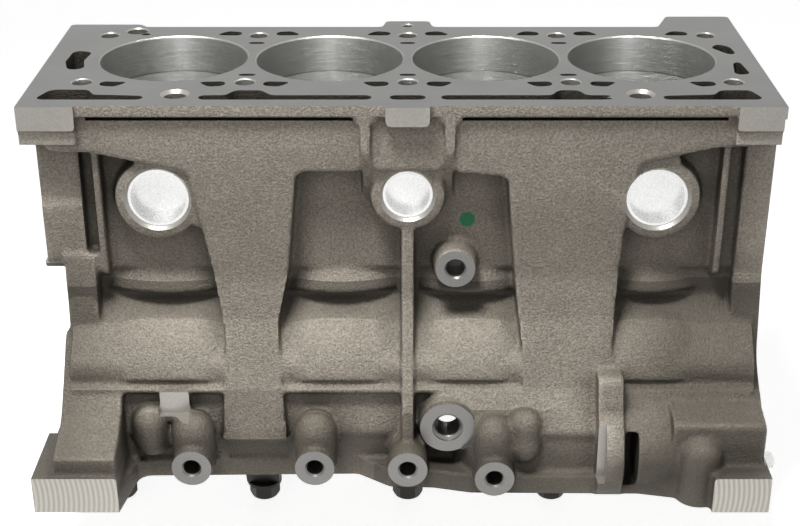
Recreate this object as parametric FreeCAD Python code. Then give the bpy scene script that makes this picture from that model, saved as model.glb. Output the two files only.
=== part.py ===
"""Cylinder block of an inline four engine with its bearing caps, plugs and dowels, in millimetres.

The origin is the crank axis at the centre main bearing. +X runs along the crank from the timing end to the
gearbox end, +Z up the cylinder bores, and -Y to the exhaust side, called the near side here. Each function
makes one piece or one feature of the casting. What belongs to the cylinders is placed by its depth below the
deck, and what belongs to the crankcase by its height above the crank axis.
"""
import FreeCAD, Part
import math
import os

# Bores and crank line
cylinders = 4
bore_pitch = 88.0
bore_diameter = 82.7
bore_length = 131.0
bore_chamfer = 0.6
deck_height = 210.0
rail_drop = 4.0
bearing_housing_diameter = 58.5
bulkhead_thickness = 20.0
liner_wall = 5.4

# Deck and overall size
timing_overhang = 27.0
gearbox_overhang = 20.5
deck_near = 82.0
deck_far = 60.0
deck_flange_depth = 6.5
deck_thickness = 9.5
pad_step = 13.0
end_face_inset = 6.0
gearbox_face_inset = 1.0
head_bolt_spacing = 86.0
head_bolt_hole_diameter = 10.5
head_bolt_depth = 92.0
head_bolt_boss_diameter = 21.0

# Water jacket
jacket_depth = 98.0
jacket_near = 60.5
jacket_far = 53.0
jacket_end_gap = 6.5
wall_near = 66.0
wall_far = 58.5

# Crankcase
ledge_drop = 2.0
ledge_band = 13.0
ledge_arch = 7.0
bay_ceiling_drop = 9.0
shoulder_drop = 24.0
bulge_radius = 50.0
bulge_crown = 3.0
ridge_height = 51.0
skirt_near = 99.0
skirt_far = 96.0
skirt_wall = 8.5
rail_thickness = 11.0
rail_lip = 3.0
foot_near = 137.0
foot_height = 21.5
foot_timing_width = 46.0
foot_gearbox_width = 31.0
flare_near = 118.0

# Raised sheets, pockets and ribs of the near side
sheet_near = 79.0
sheet_draft = 1.5
sheet_top_depth = 7.8
panel_depth = 38.0
rib_width = 7.0
rib_root = 26.0
rib_inner = 18.4
pad_near = 85.0
corner_pad_depth = 22.0

# Core plugs: diameter, depth of the axis and distance of the seat face from the crank plane
plug_diameter = 33.0
centre_plug_diameter = 27.0
plug_axis_depth = 55.0
plug_wall = 1.6
plug_cup_depth = 9.0
plug_boss_rim = 6.2
plug_boss_root = 14.0
plug_offset = 134.0
plug_seat_near = 76.0
press_clearance = 0.03

# Main bearing caps, their bolts and sleeves
cap_half_span = 55.0
cap_height = 46.0
cap_bolt_spacing = 78.0
cap_bolt_diameter = 11.0
cap_bolt_thread_length = 52.0
cap_bolt_head_width = 16.0
cap_bolt_head_height = 11.0
cap_bolt_flange_diameter = 21.0
cap_bolt_clearance = 0.1
sleeve_outer_diameter = 15.0
sleeve_wall = 1.4
sleeve_length = 14.0

# Small bosses of the near side
side_thread_diameter = 9.0
side_boss_diameter = 21.8
side_boss_near = 122.0
side_boss_height = 14.5
side_boss_thread_depth = 26.0
side_boss_offsets = [-118.5, -51.0, 0.0, 47.6]
side_boss_steps = [(0.0, 0.0), (0.0, 0.0), (0.0, -1.0), (3.0, -5.0)]
knock_boss_diameter = 23.0
knock_boss_near = 80.0
knock_boss_depth = 94.5
knock_boss_offset = 26.0
knock_thread_diameter = 10.0
return_boss_diameter = 30.0
return_boss_near = 108.0
return_boss_height = 32.0
return_boss_offset = 22.0
return_hole_diameter = 13.2
pillar_radius = 11.8

# Starter housing
starter_centre_near = 97.0
starter_centre_height = 18.0
starter_outer_radius = 27.0
starter_bore_radius = 17.0
starter_bore_near = 114.0
starter_flange_inset = 88.5
starter_flange_thickness = 10.0
starter_bore_depth = 8.0

# Oil gallery and small parts
gallery_diameter = 12.0
gallery_far = 74.0
gallery_drop = 30.0
gallery_boss_diameter = 30.0
gallery_plug_diameter = 18.0
gallery_plug_length = 12.0
gallery_plug_socket = 8.0
rail_thread_diameter = 6.8
rail_thread_inset = 7.5
rail_boss_radius = 6.8
face_thread_diameter = 8.5
dowel_diameter = 14.0
dowel_height = 6.0
dowel_wall = 1.8
dowel_length = 18.0
filter_pad_offset = 44.0
filter_pad_height = 45.0
filter_pad_far = 100.0
filter_pad_radius = 36.0
far_mount_far = 104.0
oil_hole_offset = 123.0
oil_hole_near = 63.0
drain_plug_diameter = 14.0
drain_head_width = 19.0

# Places worked out from the sizes above
mains = [bore_pitch * (i - cylinders / 2) for i in range(cylinders + 1)]
bores = [bore_pitch * (i - (cylinders - 1) / 2) for i in range(cylinders)]
x_timing = mains[0] - timing_overhang
x_gearbox = mains[-1] + gearbox_overhang
liner_radius = bore_diameter / 2 + liner_wall
jacket_low_x = bores[0] - liner_radius - jacket_end_gap
jacket_high_x = bores[-1] + liner_radius + jacket_end_gap
x_end_timing = x_timing + end_face_inset
x_end_gearbox = x_gearbox - gearbox_face_inset
starter_flange_x = x_gearbox - starter_flange_inset
ledge_depth = jacket_depth + ledge_drop
bay_ceiling_depth = jacket_depth + bay_ceiling_drop
shoulder_depth = jacket_depth + shoulder_drop
gallery_depth = jacket_depth + gallery_drop
ALONG_Z = FreeCAD.Vector(0, 0, 1)


def below(depth):
    """The height of a point that lies this far below the deck."""
    return deck_height - depth


def corner_wire(points, radius, place):
    """A closed wire through points (u, v), each corner rounded to radius or to its own third value."""
    edges, ends, count = [], [], len(points)
    for i in range(count):
        before, here, after = points[i - 1], points[i], points[(i + 1) % count]
        r = here[2] if len(here) > 2 else radius
        a = FreeCAD.Vector(before[0] - here[0], before[1] - here[1], 0)
        b = FreeCAD.Vector(after[0] - here[0], after[1] - here[1], 0)
        half = a.getAngle(b) / 2
        p = FreeCAD.Vector(here[0], here[1], 0)
        if r <= 0 or half > math.radians(89):
            ends.append((p, None, p))
            continue
        reach = min(r / math.tan(half), 0.48 * min(a.Length, b.Length))
        r = reach * math.tan(half)
        a.normalize()
        b.normalize()
        middle = a + b
        middle.normalize()
        ends.append((p + a * reach, p + middle * (r / math.sin(half) - r), p + b * reach))
    for i in range(count):
        start, via, end = ends[i]
        if via is not None:
            edges.append(Part.Arc(place(start), place(via), place(end)).toShape())
        following = ends[(i + 1) % count][0]
        if (following - end).Length > 1e-6:
            edges.append(Part.makeLine(place(end), place(following)))
    return Part.Wire(Part.__sortEdges__(edges))


def plate_xy(points, low, high, radius=0.0):
    """A plate with an outline in X and Y between two heights."""
    wire = corner_wire(points, radius, lambda p: FreeCAD.Vector(p.x, p.y, low))
    return Part.Face(wire).extrude(FreeCAD.Vector(0, 0, high - low))


def plate_xz(points, y_from, y_to, radius=0.0):
    """A plate with an outline in X and Z between two distances across the block."""
    wire = corner_wire(points, radius, lambda p: FreeCAD.Vector(p.x, y_from, p.y))
    return Part.Face(wire).extrude(FreeCAD.Vector(0, y_to - y_from, 0))


def plate_yz(points, x_from, x_to, radius=0.0):
    """A section in Y and Z, extruded along the crank."""
    wire = corner_wire(points, radius, lambda p: FreeCAD.Vector(x_from, p.x, p.y))
    return Part.Face(wire).extrude(FreeCAD.Vector(x_to - x_from, 0, 0))


def drafted_xz(points, y_base, y_top, draft, radius):
    """A raised sheet with drafted sides: its outline shrinks by draft from y_base to y_top."""
    base = corner_wire(points, radius, lambda p: FreeCAD.Vector(p.x, y_base, p.y))
    middle_x = (base.BoundBox.XMin + base.BoundBox.XMax) / 2
    middle_z = (base.BoundBox.ZMin + base.BoundBox.ZMax) / 2
    scale_x = 1 - 2 * draft / base.BoundBox.XLength
    scale_z = 1 - 2 * draft / base.BoundBox.ZLength
    top = corner_wire(
        points, radius,
        lambda p: FreeCAD.Vector(middle_x + (p.x - middle_x) * scale_x, y_top,
                                 middle_z + (p.y - middle_z) * scale_z))
    return Part.makeLoft([base, top], True, True)


def box(x, y, z):
    """A box between the two values of each pair."""
    return Part.makeBox(x[1] - x[0], y[1] - y[0], z[1] - z[0], FreeCAD.Vector(x[0], y[0], z[0]))


def rod(radius, start, end):
    """A round bar from one point to another."""
    start, end = FreeCAD.Vector(*start), FreeCAD.Vector(*end)
    return Part.makeCylinder(radius, (end - start).Length, start, end - start)


def turned(profile, place, direction):
    """A turned piece: profile (radius, height) revolved, with its height along direction from place."""
    points = [FreeCAD.Vector(r, 0, h) for r, h in profile]
    face = Part.Face(Part.makePolygon(points + points[:1]))
    shape = face.revolve(FreeCAD.Vector(0, 0, 0), ALONG_Z, 360)
    turn = FreeCAD.Rotation(ALONG_Z, FreeCAD.Vector(*direction))
    shape.Placement = FreeCAD.Placement(FreeCAD.Vector(*place), turn)
    return shape


def drilled(radius, mouth, direction, depth, chamfer=0.0):
    """A blind drilling, with a chamfered mouth where one is asked for. direction goes into the metal."""
    over = 1.0
    if not chamfer:
        start = FreeCAD.Vector(*mouth) - FreeCAD.Vector(*direction) * over
        return Part.makeCylinder(radius, depth + over, start, FreeCAD.Vector(*direction))
    profile = [(0, -over), (radius + chamfer, -over), (radius + chamfer, 0), (radius, chamfer),
               (radius, depth), (0, depth)]
    return turned(profile, mouth, direction)


def hexagon(u, v, width):
    """The corners of a hexagon with this width across its flats."""
    reach = width / 2 / math.cos(math.pi / 6)
    turns = [math.pi / 3 * i for i in range(6)]
    return [(u + reach * math.cos(turn), v + reach * math.sin(turn)) for turn in turns]


def pillar(x, y, radius, low, high):
    """An upright cast pillar with a domed head."""
    shape = rod(radius, (x, y, low), (x, y, high - radius))
    return shape.fuse(Part.makeSphere(radius, FreeCAD.Vector(x, y, high - radius)))


# Casting: deck, jacket housing and crankcase

def deck_outline():
    """The deck's outline: straight near edge, and on the far edge the corner blocks and the centre pad."""
    return [
        (x_timing, -deck_near), (x_gearbox, -deck_near), (x_gearbox, deck_far + 22),
        (x_gearbox - 38, deck_far + 22),
        (x_gearbox - 46, deck_far), (mains[2] + 15, deck_far), (mains[2] + 13, deck_far + 12),
        (mains[2] - 13, deck_far + 12), (mains[2] - 15, deck_far), (x_timing + 46, deck_far),
        (x_timing + 42, deck_far + 5), (x_timing, deck_far + 5)]


def deck_slab():
    return plate_xy(deck_outline(), below(deck_flange_depth), deck_height, 2.5)


def jacket_housing():
    """The straight walls round the water jacket, from under the deck to the crankcase."""
    return box((x_end_timing, x_end_gearbox), (-wall_near, wall_far),
               (below(ledge_depth), below(deck_flange_depth)))


def crankcase_section():
    """The crankcase in section: the undercut below the jacket, the shoulder, the ridge and the skirt."""
    near = [
        (-wall_near + 6, below(ledge_depth - 8), 0), (-wall_near, below(ledge_depth), 0),
        (-wall_near + 2, below(ledge_depth + 1), 0), (-wall_near + 2, below(shoulder_depth - 5), 3),
        (-wall_near - 3, below(shoulder_depth), 14), (-skirt_near + 4, ridge_height + 12, 22),
        (-skirt_near + 4, ridge_height + 1.5, 1), (-skirt_near, ridge_height, 0.8),
        (-skirt_near, ridge_height - 2.5, 0.8), (-skirt_near + 4.5, ridge_height - 4.5, 1),
        (-skirt_near - 1, ridge_height - 27, 2), (-skirt_near + 0.5, ridge_height - 31, 2),
        (-skirt_near + 0.5, -rail_drop + 2, 0)]
    far = [
        (skirt_far - 3, -rail_drop + 2, 0), (skirt_far - 3, ridge_height, 14),
        (wall_far + 10, below(shoulder_depth), 20),
        (wall_far, below(ledge_depth), 4), (wall_far - 6, below(ledge_depth - 8), 0)]
    return near + far


def crankcase():
    return plate_yz(crankcase_section(), x_end_timing + 11, x_end_gearbox - 4)


def bay_places():
    """The four bays of the near side between the raised columns: (middle, half width)."""
    return [(mains[0] + 43.5, 33.0), (mains[1] + 50.5, 31.0), (mains[2] + 34.5, 28.5),
            (mains[4] - 41.5, 26.0)]


def ledge_bands():
    """The jacket's foot in each bay: a band that flares down and outwards to an arched lower rim."""
    bands = []
    for middle, half_width in bay_places():
        radius = (half_width ** 2 + ledge_arch ** 2) / (2 * ledge_arch)
        centre = -wall_near - ledge_arch + 1 + radius
        cone = turned([(0, below(ledge_depth + ledge_band)), (radius, below(ledge_depth + ledge_band)),
                       (radius, below(ledge_depth + ledge_band - 2)),
                       (radius - ledge_arch + 1, below(ledge_depth)),
                       (0, below(ledge_depth))], (middle, centre, 0), (0, 0, 1))
        keep = box((middle - half_width - 4, middle + half_width + 4), (-skirt_near, -wall_near + 8),
                   (below(ledge_depth + ledge_band), below(ledge_depth)))
        bands.append(cone.common(keep))
    return bands


def shoulder_bulges():
    """The rounded bulge of each bay, which makes room for the crank's swing."""
    top, foot = (-wall_near - 3, below(shoulder_depth)), (-skirt_near + 4, ridge_height + 12)
    run = FreeCAD.Vector(foot[0] - top[0], foot[1] - top[1], 0)
    inward = FreeCAD.Vector(-run.y, run.x, 0).normalize()
    depth = bulge_radius - bulge_crown
    y = (top[0] + foot[0]) / 2 + inward.x * depth
    z = (top[1] + foot[1]) / 2 + inward.y * depth
    bulges = []
    for middle, half_width in bay_places():
        reach = half_width + 0.5
        profile = [(0, -reach), (bulge_radius - 7, -reach), (bulge_radius - 2.6, -reach + 4),
                   (bulge_radius - 0.8, -reach + 12),
                   (bulge_radius, -reach + 22), (bulge_radius, reach - 22), (bulge_radius - 0.8, reach - 12),
                   (bulge_radius - 2.6, reach - 4), (bulge_radius - 7, reach), (0, reach)]
        keep = box((middle - reach - 1, middle + reach + 1), (-skirt_near, -wall_near + 4),
                   (ridge_height + 4, below(shoulder_depth - 6)))
        bulges.append(turned(profile, (middle, y, z), (1, 0, 0)).common(keep))
    return bulges


def rail_outline():
    """The pan rail's outline, with a foot at each end of the near side."""
    left, right = x_timing + foot_timing_width, x_gearbox - foot_gearbox_width
    wide = skirt_near + 19
    return [
        (x_timing, -foot_near, 0), (left, -foot_near, 0), (left + 6, -skirt_near - 2, 8),
        (mains[2] - 28, -skirt_near, 5),
        (mains[2] - 10, -skirt_near - 13, 5), (mains[2] + 14, -skirt_near - 14, 5), (mains[2] + 35, -wide, 5),
        (right - 38, -wide - 1, 5), (right - 14, -wide - 6, 5), (right, -wide - 6, 3), (right, -foot_near, 0),
        (x_gearbox, -foot_near, 0), (x_gearbox, skirt_far + 12), (x_gearbox - 30, skirt_far + 12, 8),
        (x_gearbox - 40, skirt_far, 8), (x_timing + 40, skirt_far, 8), (x_timing + 30, skirt_far + 10, 8),
        (x_timing, skirt_far + 10)]


def pan_rail():
    return plate_xy(rail_outline(), -rail_drop, -rail_drop + rail_thickness, 3)


def skirt_flare():
    """The skirt of the gearbox half, which leans out to the wider rail."""
    side = [
        (-skirt_near + 8, ridge_height), (-skirt_near, ridge_height, 1),
        (-flare_near + 5, ridge_height - 20, 3),
        (-flare_near + 7, ridge_height - 25, 2), (-flare_near + 3, -rail_drop + 2),
        (-skirt_near + 8, -rail_drop + 2)]
    top = [
        (mains[2] + 26, -skirt_near + 10), (mains[2] + 26, -skirt_near - 2, 6),
        (mains[2] + 42, -flare_near - 4, 8),
        (x_end_gearbox - 6, -flare_near - 4), (x_end_gearbox - 6, -skirt_near + 10)]
    return plate_yz(side, mains[2] + 20, x_end_gearbox - 6).common(
        plate_xy(top, -rail_drop, ridge_height + 4))


def timing_end():
    """The timing end's flange. It steps in below the jacket and leans out to the foot."""
    upper = [
        (-72.5, below(4), 0), (-72.5, below(56), 2), (-73.5, below(60), 2), (-73.5, below(96), 6),
        (wall_far + 8, below(96), 6),
        (wall_far + 4, below(4), 0)]
    lower = [
        (-75, below(88), 0), (-78, 72, 30), (-skirt_near, 36, 10), (-skirt_near, -rail_drop + 4, 0),
        (skirt_far + 8, -rail_drop + 4, 0), (skirt_far + 4, 60, 20),
        (wall_far + 8, below(118), 10), (wall_far + 6, below(88), 0)]
    flange = plate_yz(upper, x_end_timing, x_end_timing + 22)
    flange = flange.fuse(plate_yz(lower, x_end_timing + 9, x_end_timing + 26))
    gusset = [
        (-76, 77, 0), (-skirt_near + 5, 54, 20), (-skirt_near - 10, 37, 24),
        (-foot_near + 3, 28, 1.5), (-foot_near + 3, -rail_drop + 4, 0), (-76, -rail_drop + 4, 0)]
    return flange.fuse(plate_yz(gusset, x_end_timing + 6, x_timing + foot_timing_width - 0.5))


def gearbox_end():
    """The gearbox flange, wider than the block on the far side and at the foot."""
    outline = [
        (-72, below(4), 0), (-70, below(100), 20), (-78, 60, 25), (-skirt_near - 6, 38, 8),
        (-flare_near, 38, 3), (-flare_near, 18, 3), (-foot_near + 12, 14, 2),
        (-foot_near + 12, -rail_drop + 2, 0), (skirt_far + 12, -rail_drop + 2, 0), (skirt_far + 12, 60, 25),
        (deck_far + 38, below(90), 25), (deck_far + 38, below(12), 8), (deck_far + 16, below(6), 3)]
    return plate_yz(outline, x_end_gearbox - 16, x_end_gearbox)


def feet():
    """The two locating feet of the near side. Their faces are milled."""
    timing = box((x_timing, x_timing + foot_timing_width), (-foot_near, -skirt_near + 10),
                 (-rail_drop, -rail_drop + foot_height))
    gearbox = box((x_gearbox - foot_gearbox_width, x_gearbox), (-foot_near, -skirt_near + 10),
                  (-rail_drop, -rail_drop + foot_height))
    return timing.fuse(gearbox)


def corner_pads():
    """The machined pads at the deck's near corners and the one at the middle."""
    pads = []
    for low, high in ((x_timing, x_timing + 30), (x_gearbox - 25, x_gearbox)):
        pads.append(box((low, high), (-deck_near - 2, -wall_near), (below(pad_step), deck_height)))
        lower = (below(corner_pad_depth), below(pad_step - 1))
        pads.append(box((low, high), (-deck_near, -wall_near), lower))
    middle = [(mains[2] - 11.5, below(10.5), 2.5), (mains[2] + 11.5, below(10.5), 2.5),
              (mains[2] + 11.5, deck_height, 0),
              (mains[2] - 11.5, deck_height, 0)]
    pads.append(plate_xz(middle, -pad_near, -wall_near))
    return pads


# Casting: raised sheets, ribs and bosses of the near side

def sheet_side():
    """The sheets in section: upright to the shoulder, then leaning out to the ridge."""
    return [
        (-wall_near + 4, below(sheet_top_depth)), (-sheet_near, below(sheet_top_depth), 0),
        (-sheet_near, below(ledge_depth), 40),
        (-sheet_near - 5, below(shoulder_depth), 40), (-skirt_near, ridge_height, 2),
        (-skirt_near - 5.5, ridge_height - 29, 1), (-skirt_near + 3, ridge_height - 33, 1),
        (-wall_near + 4, ridge_height - 33)]


def sheet_outlines():
    """The sheets seen from the near side: two panels that run down into columns, and a short one between."""
    left_main, right_main = mains[1], mains[3]
    inner = rib_root + 0.8
    timing = [
        (x_timing + 12, below(sheet_top_depth), 3), (x_timing + 12, below(26), 3),
        (x_timing + 35, below(27), 4),
        (left_main - 29, below(panel_depth), 5), (left_main - 18, below(98), 40),
        (left_main - 12, ridge_height + 24, 30),
        (left_main - 15, ridge_height - 33, 4), (left_main + 22, ridge_height - 33, 4),
        (left_main + 17, ridge_height + 34, 30),
        (left_main + 23, below(98), 40), (left_main + 29, below(panel_depth), 5),
        (mains[2] - inner + 2, below(panel_depth), 3),
        (mains[2] - inner, below(sheet_top_depth), 4)]
    centre = [
        (mains[2] - rib_inner, below(sheet_top_depth), 4), (mains[2] - rib_inner, below(panel_depth), 2),
        (mains[2] + rib_inner, below(panel_depth), 2), (mains[2] + rib_inner, below(sheet_top_depth), 4)]
    gearbox = [
        (mains[2] + inner, below(sheet_top_depth), 4), (mains[2] + inner - 2, below(panel_depth), 3),
        (right_main - 35, below(panel_depth + 3), 5), (right_main - 29, below(108), 40),
        (right_main - 26, ridge_height + 24, 30),
        (right_main - 24, ridge_height - 33, 4), (right_main + 24, ridge_height - 33, 4),
        (right_main + 25, ridge_height + 24, 30),
        (right_main + 29, below(72), 30), (right_main + 35, below(33), 5), (x_gearbox - 33, below(24), 4),
        (x_gearbox - 8, below(23), 3), (x_gearbox - 8, below(sheet_top_depth), 3)]
    return timing, centre, gearbox


def raised_sheets():
    side = plate_yz(sheet_side(), x_timing, x_gearbox)
    sheets = []
    for outline in sheet_outlines():
        sheets.append(drafted_xz(outline, -wall_near + 6, -skirt_near - 8, sheet_draft, 0).common(side))
    return sheets


def centre_ribs():
    """Two ribs from the deck flange that die out beside the centre plug, and the tall rib below it."""
    ribs = []
    for side in (-1, 1):
        outline = [
            (mains[2] + side * rib_root, below(5), 0), (mains[2] + side * (rib_root - 1.6), below(30), 0),
            (mains[2] + side * (rib_root - 1.6), below(62), 3),
            (mains[2] + side * (rib_inner + 1), below(62), 3),
            (mains[2] + side * (rib_inner + 1.2), below(30), 0),
            (mains[2] + side * (rib_inner + 1), below(5), 0)]
        profile = [(-wall_near + 4, below(5)), (-deck_near, below(5)), (-deck_near, below(27)),
                   (-wall_near - 1, below(58)),
                   (-wall_near + 4, below(58))]
        ribs.append(plate_xz(outline, -deck_near, -wall_near + 4).common(
            plate_yz(profile, mains[2] - rib_root, mains[2] + rib_root)))
    tall = [
        (-wall_near + 4, below(60)), (-plug_seat_near + 1, below(64), 2),
        (-plug_seat_near - 5, below(112), 30), (-skirt_near - 3, ridge_height, 20),
        (-side_boss_near + 12, 26, 4), (-side_boss_near + 12, 10), (-wall_near + 4, 10)]
    ribs.append(plate_yz(tall, mains[2] - rib_width / 2, mains[2] + rib_width / 2))
    return ribs


def end_ribs():
    """The narrow upright ribs beside the end bands."""
    ribs = []
    low = jacket_depth + 8
    for x in (x_timing + 37, x_gearbox - 27):
        profile = [(-wall_near + 3, below(20)), (-sheet_near + 4, below(20)),
                   (-sheet_near + 5, below(low - 6), 4), (-wall_near + 3, below(low))]
        ribs.append(plate_yz(profile, x - 2, x + 2))
    return ribs


def plug_places():
    """Every core plug: name, place of the cup's rim, direction out of the block, and diameter."""
    z, small_z = below(plug_axis_depth), below(plug_axis_depth - 2)
    far_seat = wall_far + 5
    return [
        ("core_plug_near_timing", (mains[2] - plug_offset, -plug_seat_near, z), (0, -1, 0), plug_diameter),
        ("core_plug_near_centre", (mains[2], -plug_seat_near, small_z), (0, -1, 0), centre_plug_diameter),
        ("core_plug_near_gearbox", (mains[2] + plug_offset, -plug_seat_near, z), (0, -1, 0), plug_diameter),
        ("core_plug_far_timing", (mains[2] - plug_offset, far_seat, z), (0, 1, 0), plug_diameter),
        ("core_plug_far_centre", (mains[2], far_seat, z), (0, 1, 0), plug_diameter),
        ("core_plug_far_gearbox", (mains[2] + plug_offset, far_seat, z), (0, 1, 0), plug_diameter),
        ("core_plug_timing_end", (x_end_timing, 0, z), (-1, 0, 0), plug_diameter),
        ("core_plug_gearbox_end", (x_end_gearbox, 0, z), (1, 0, 0), plug_diameter)]


def plug_bosses():
    """A ring boss for each plug of the two long sides. The outer near ones run into the panel above them."""
    bosses = []
    for name, place, direction, diameter in plug_places():
        if direction[1] == 0:
            continue
        radius = diameter / 2 + plug_boss_rim
        profile = [(0, -plug_boss_root), (radius + 2.5, -plug_boss_root), (radius, 0), (0, 0)]
        bosses.append(turned(profile, place, direction))
    for side in (-1, 1):
        x = mains[2] + side * plug_offset
        outline = [
            (x - side * 16, below(panel_depth - 2)), (x - side * 22, below(plug_axis_depth + 17)),
            (x - side * 4, below(plug_axis_depth + 12)), (x + side * 12, below(plug_axis_depth - 18)),
            (x + side * 10, below(30)),
            (x - side * 16, below(30))]
        bosses.append(plate_xz(outline, -plug_seat_near, -wall_near + 2))
    half = centre_plug_diameter / 2 + plug_boss_rim - 1.5
    bosses.append(box((mains[2] - half, mains[2] + half), (-plug_seat_near, -wall_near + 2),
                      (below(plug_axis_depth - 2), below(panel_depth - 4))))
    return bosses


def near_threads():
    """The faces of the threaded side bosses."""
    return [
        (mains[2] + offset, -side_boss_near - out, side_boss_height + up)
        for offset, (out, up) in zip(side_boss_offsets, side_boss_steps)]


def lower_bosses():
    """Upright pillars on the skirt, each with a round boss for a threaded hole."""
    shapes = []
    for x, y, z in near_threads():
        shapes.append(rod(side_boss_diameter / 2, (x, y, z), (x, -skirt_near + 8, z)))
        if abs(x - mains[2]) > 1:
            shapes.append(pillar(x, y + pillar_radius + 4, pillar_radius, z - side_boss_diameter / 2 + 3, 41))
    x, y = mains[2] + 64, -skirt_near - 9
    bulb = Part.makeSphere(10.5, FreeCAD.Vector(x, y - 1, 23))
    shapes.append(pillar(x, y, 10, 23, 44).fuse(bulb))
    x = mains[2] - 142
    lobe = Part.makeSphere(11, FreeCAD.Vector(x, -skirt_near - 1, 22))
    shapes.append(pillar(x, -skirt_near - 1, 11, 22, 42).fuse(lobe))
    return shapes


def ground_boss():
    """The ground boss under the ridge at the timing end."""
    x = mains[2] - 128.5
    outline = [(x - 8, ridge_height), (x - 8, ridge_height - 16, 4), (x + 8, ridge_height - 16, 4),
               (x + 8, ridge_height)]
    return plate_xz(outline, -skirt_near - 3, -skirt_near + 10)


def knock_boss():
    """The boss of the knock sensor's screw."""
    radius = knock_boss_diameter / 2
    profile = [(0, -20), (radius + 1.5, -20), (radius, -1), (radius - 1, 0), (0, 0)]
    return turned(profile, knock_place(), (0, -1, 0))


def knock_place():
    return (mains[2] + knock_boss_offset, -knock_boss_near, below(knock_boss_depth))


def return_boss():
    """The large spot-faced boss whose hole runs through into the crankcase."""
    x, z = mains[2] + return_boss_offset, return_boss_height
    radius = return_boss_diameter / 2
    return turned([(0, -22), (radius + 3, -22), (radius + 0.5, -1), (radius, 0), (0, 0)],
                  (x, -return_boss_near, z), (0, -1, 0))


def starter_housing():
    """The half-round starter housing along the skirt, its flange, the ledge over it and the bolt bulb."""
    y, z = -starter_centre_near, starter_centre_height
    shell = rod(starter_outer_radius, (starter_flange_x + 2, y, z), (x_end_gearbox - 2, y, z))
    flange = rod(starter_outer_radius + 4.5, (starter_flange_x, y, z),
                 (starter_flange_x + starter_flange_thickness, y, z))
    ear = plate_yz([(y + 2, z + 20), (y + 2, z + 44), (y - 10, z + 44, 5), (y - 16, z + 30, 4),
                    (y - 20, z + 16)],
                   starter_flange_x, starter_flange_x + starter_flange_thickness)
    ledge = plate_yz([(-skirt_near + 6, 48, 0), (-skirt_near - 4, 46, 3), (-flare_near - 5, 42, 3),
                      (-flare_near - 5, 24, 3), (-skirt_near + 6, 24, 0)],
                     starter_flange_x + 36, x_end_gearbox - 1)
    keep = box((starter_flange_x - 1, x_gearbox), (-foot_near, -skirt_near + 10), (-rail_drop + 1, 80))
    bulb = pillar(mains[4] - 16, -flare_near - 2, 12.5, -rail_drop, 36)
    return [shape.common(keep) for shape in (shell, flange, ear)] + [ledge, bulb]


# Casting: far side

def far_side():
    """Columns over the bulkheads, the oil gallery's rib, the filter pad and the mounting bosses."""
    shapes = []
    for x in mains[1:-1]:
        side = [(wall_far - 4, below(7)), (wall_far + 3.5, below(7), 0),
                (wall_far + 4.5, below(ledge_depth), 30),
                (wall_far + 13, below(shoulder_depth), 30), (skirt_far, ridge_height, 6),
                (skirt_far, -rail_drop + 4), (wall_far - 4, -rail_drop + 4)]
        front = [(x - 13, below(7), 0), (x - 9, below(120), 20), (x - 12, -rail_drop + 4, 0),
                 (x + 12, -rail_drop + 4, 0),
                 (x + 9, below(120), 20), (x + 13, below(7), 0)]
        width = drafted_xz(front, wall_far - 6, skirt_far + 6, 2, 0)
        shapes.append(plate_yz(side, x - 20, x + 20).common(width))
    z = below(gallery_depth)
    shapes.append(rod(gallery_boss_diameter / 2, (x_end_timing, gallery_far, z),
                      (x_end_gearbox, gallery_far, z)))
    radius = filter_pad_radius
    shapes.append(turned([(0, -40), (radius + 8, -40), (radius + 2, -2), (radius, 0), (0, 0)],
                         filter_pad_place(), (0, 1, 0)))
    for place in far_mount_places():
        shapes.append(turned([(0, -30), (13, -30), (10.5, 0), (0, 0)], place, (0, 1, 0)))
    shapes.append(plate_xy([(x_gearbox - 38, deck_far - 2), (x_gearbox - 38, deck_far + 34, 6),
                            (x_gearbox - 28, deck_far + 40, 6),
                            (x_gearbox - 14, deck_far + 40, 5), (x_gearbox - 6, deck_far + 30, 4),
                            (x_gearbox - 2, deck_far - 2)],
                           below(32), below(7)))
    return shapes


def filter_pad_place():
    return (mains[1] + filter_pad_offset, filter_pad_far, filter_pad_height)


def far_mount_places():
    """The four threaded mounting bosses at the gearbox half of the far side."""
    return [(mains[2] + offset, far_mount_far, height) for offset in (36, 136) for height in (76, 20)]


# Casting: hollows

def water_jacket():
    """The room round the liners, with the head bolt bosses left standing in it."""
    room = plate_xy([(jacket_low_x, -jacket_near), (jacket_high_x, -jacket_near),
                     (jacket_high_x, jacket_far), (jacket_low_x, jacket_far)],
                    below(jacket_depth), below(deck_thickness), 14)
    keep = [rod(liner_radius, (x, 0, below(jacket_depth + 1)), (x, 0, deck_height)) for x in bores]
    for x in mains:
        for y in (-head_bolt_spacing / 2, head_bolt_spacing / 2):
            keep.append(rod(head_bolt_boss_diameter / 2, (x, y, below(jacket_depth + 1)),
                            (x, y, deck_height)))
    return room.cut(keep[0].multiFuse(keep[1:]))


def crank_bays():
    """The open rooms of the crankcase between the bulkheads, drawn in from the outer skin by its wall."""
    near, far = -skirt_near + skirt_wall, skirt_far - skirt_wall
    section = [
        (near, -rail_drop - 1, 0), (near, ridge_height - 4, 26),
        (-wall_near + 6, below(shoulder_depth + 2), 24),
        (-wall_near + 10, below(bay_ceiling_depth), 8), (wall_far - 10, below(bay_ceiling_depth), 8),
        (wall_far + 0, below(shoulder_depth + 4), 24), (far, ridge_height - 4, 26), (far, -rail_drop - 1, 0)]
    half = bulkhead_thickness / 2
    return [plate_yz(section, mains[i] + half, mains[i + 1] - half) for i in range(cylinders)]


def liners_below_jacket():
    """The lower ends of the liners, which reach into the crankcase."""
    low = deck_height - bore_length
    return [rod(liner_radius, (x, 0, low), (x, 0, below(bay_ceiling_depth - 2))) for x in bores]


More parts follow.
